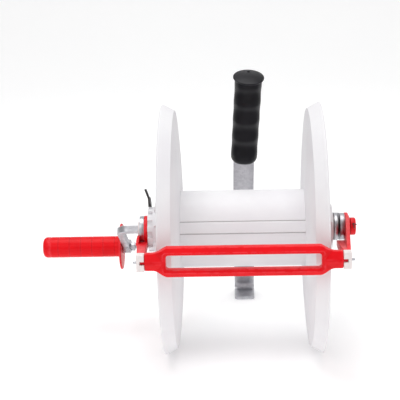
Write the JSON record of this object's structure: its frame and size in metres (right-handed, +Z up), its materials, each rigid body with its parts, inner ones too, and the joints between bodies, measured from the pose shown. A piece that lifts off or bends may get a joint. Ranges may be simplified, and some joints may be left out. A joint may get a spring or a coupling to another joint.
{
  "type": "electric fence reel",
  "caption": "Hand-cranked spool for electric fence wire with dished flanges in a steel bow, with a slotted wire guide, a lock lever and an upright grip.",
  "frame": {"origin": "middle of the flat underside of the handle's foot, on the ground that the reel stands on", "axes": "+X along the spool's axle away from the crank, +Y away from the wire guide, +Z up"},
  "size_m": [0.3647, 0.3664, 0.303],
  "materials": {
    "white_plastic": "smooth moulded",
    "pale_nylon": "smooth, slightly translucent",
    "red_plastic": "satin moulded",
    "zinc_steel": "zinc plated",
    "dark_steel": "oiled spring steel",
    "black_steel": "blackened",
    "black_rubber": "matte moulded"
  },
  "bodies": {
    "frame": {"frame_bow": "zinc_steel", "handle_strap": "zinc_steel", "handle_grip": "black_rubber", "grip_cap": "black_rubber", "strap_rivets": "zinc_steel", "guide_arm_left": "red_plastic", "guide_arm_right": "red_plastic", "guide_block_left": "pale_nylon", "guide_block_right": "pale_nylon", "guide_pivot_pins": "zinc_steel", "lever_pin": "zinc_steel"},
    "spool": {"drum": "white_plastic", "flange_left": "white_plastic", "flange_right": "white_plastic", "flange_screws": "zinc_steel", "lock_ring": "white_plastic", "ring_screws": "zinc_steel", "crank_axle": "zinc_steel", "axle_bush_left": "pale_nylon", "axle_bush_right": "pale_nylon", "washer_right": "zinc_steel", "brake_spring": "dark_steel", "axle_collar": "red_plastic", "split_pin": "dark_steel", "spindle_bolt": "zinc_steel", "spindle_washer": "zinc_steel", "spindle_nut": "zinc_steel"},
    "crank_grip": {"crank_grip": "red_plastic", "grip_end_cap": "red_plastic"},
    "guide_bar": {"guide_bar": "red_plastic"},
    "lock_lever": {"lock_lever": "black_steel"}
  },
  "joints": [
    {"name": "spool_spin", "type": "hinge", "parent": "frame", "child": "spool", "pos_m": [-0.0022, -0.19, 0.14], "axis": [1, 0, 0], "continuous": true},
    {"name": "grip_spin", "type": "hinge", "parent": "spool", "child": "crank_grip", "pos_m": [-0.185, -0.12003, 0.10121], "axis": [1, 0, 0], "continuous": true},
    {"name": "guide_tilt", "type": "hinge", "parent": "frame", "child": "guide_bar", "pos_m": [-0.0022, -0.3425, 0.1462], "axis": [1, 0, 0], "range_deg": [-20, 20]},
    {"name": "lever_lock", "type": "hinge", "parent": "frame", "child": "lock_lever", "pos_m": [-0.1063, -0.15601, 0.13799], "axis": [1, 0, 0], "range_deg": [0, 5.6]}
  ]
}
